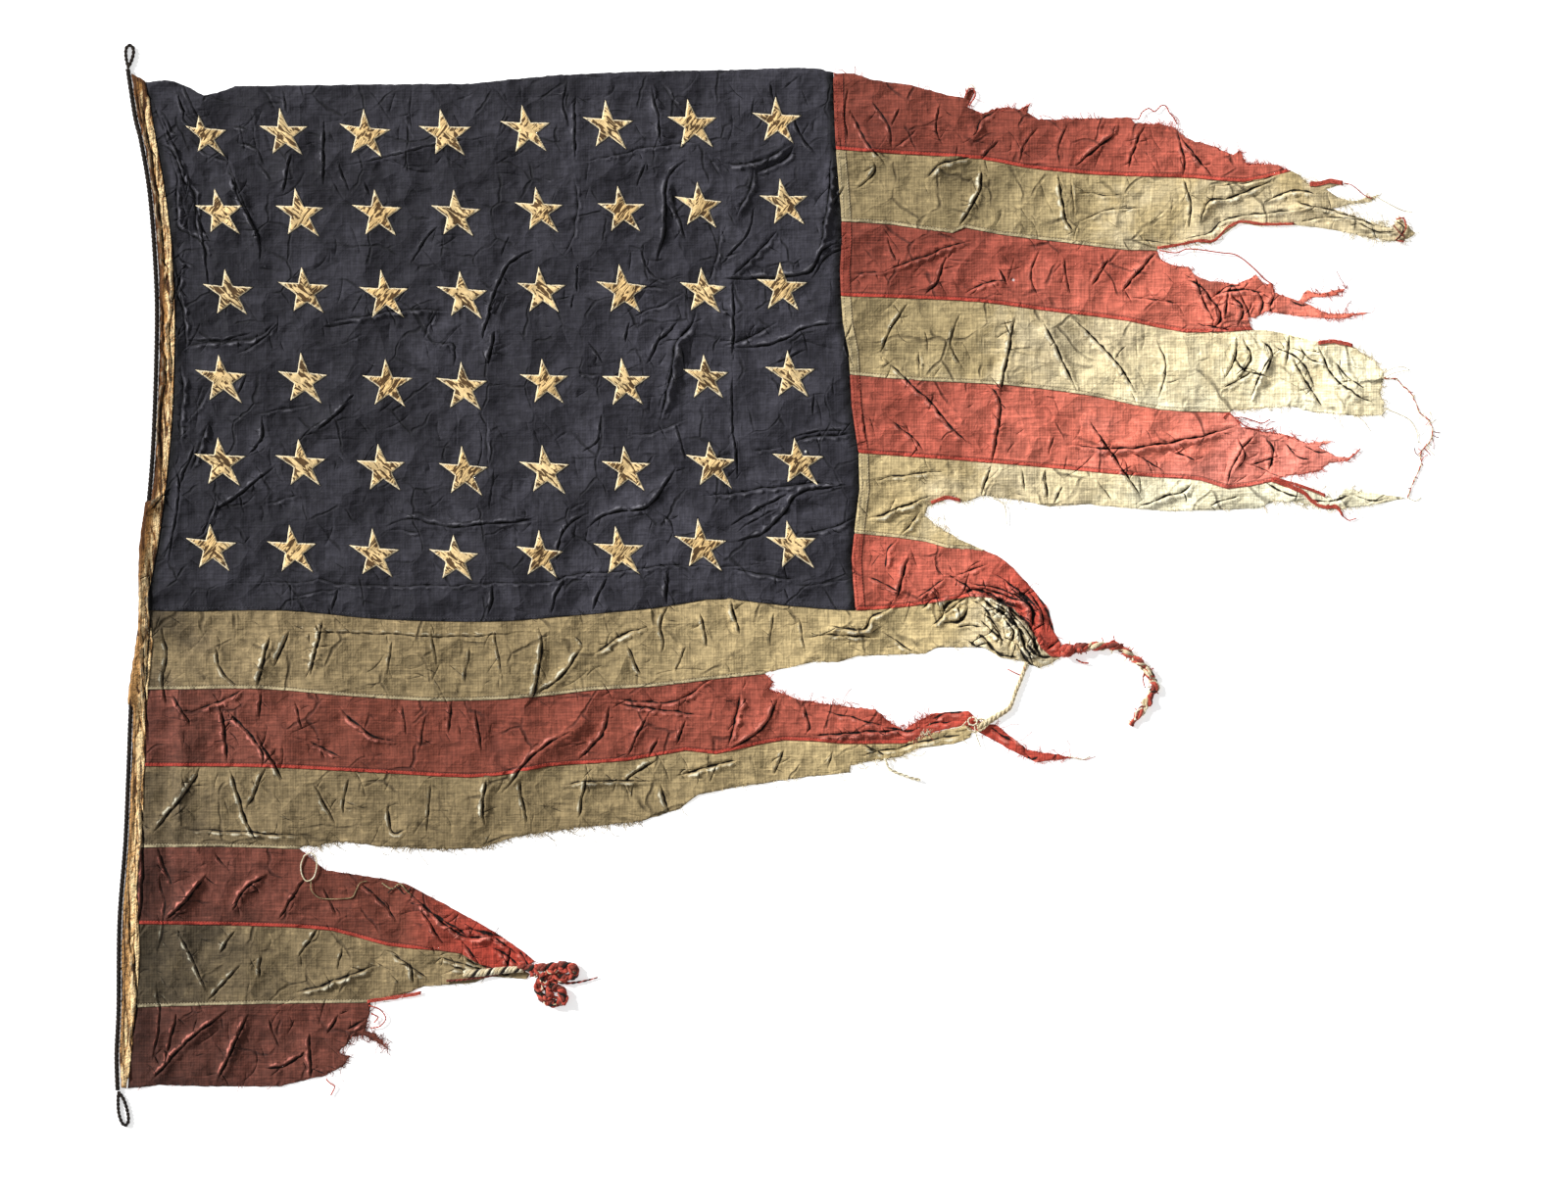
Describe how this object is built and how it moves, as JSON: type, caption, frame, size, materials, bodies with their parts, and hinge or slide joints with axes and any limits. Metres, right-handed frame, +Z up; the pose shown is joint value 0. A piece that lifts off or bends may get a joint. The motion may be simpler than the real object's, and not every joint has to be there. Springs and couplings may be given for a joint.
{
  "type": "tattered flag",
  "caption": "Worn sewn ensign lying flat: starred canton, torn stripes with frayed tails and knots, canvas heading and hoist rope with two eyes.",
  "frame": {"origin": "centre of the bounding box in plan, on the surface that the cloth lies on", "axes": "+X from the hoist to the fly, +Y up the hoist, +Z up from the surface, towards the viewer"},
  "size_m": [2.0169, 1.657, 0.0193],
  "materials": {
    "blue": "faded navy wool bunting",
    "red": "faded and soiled red wool bunting",
    "white": "yellowed and soiled white wool bunting",
    "canvas": "stained cotton canvas",
    "rope": "dark tarred rope",
    "cream": "frayed cream and red yarn"
  },
  "bodies": {
    "root": {"canton": "blue", "stripe_01": "red", "stripe_02": "white", "stripe_03": "red", "stripe_04": "white", "stripe_05": "red", "stripe_06": "white", "stripe_07": "red", "stripe_08": "white", "stripe_09": "red", "stripe_10": "white", "stripe_11": "red", "stripe_12": "white", "stripe_13": "red", "heading": "canvas", "hoist_rope": "rope", "upper_eye": "rope", "lower_eye": "rope", "twisted_tail": "red", "lower_link": "cream", "upper_link": "cream", "knotted_end": "cream"}
  },
  "joints": []
}
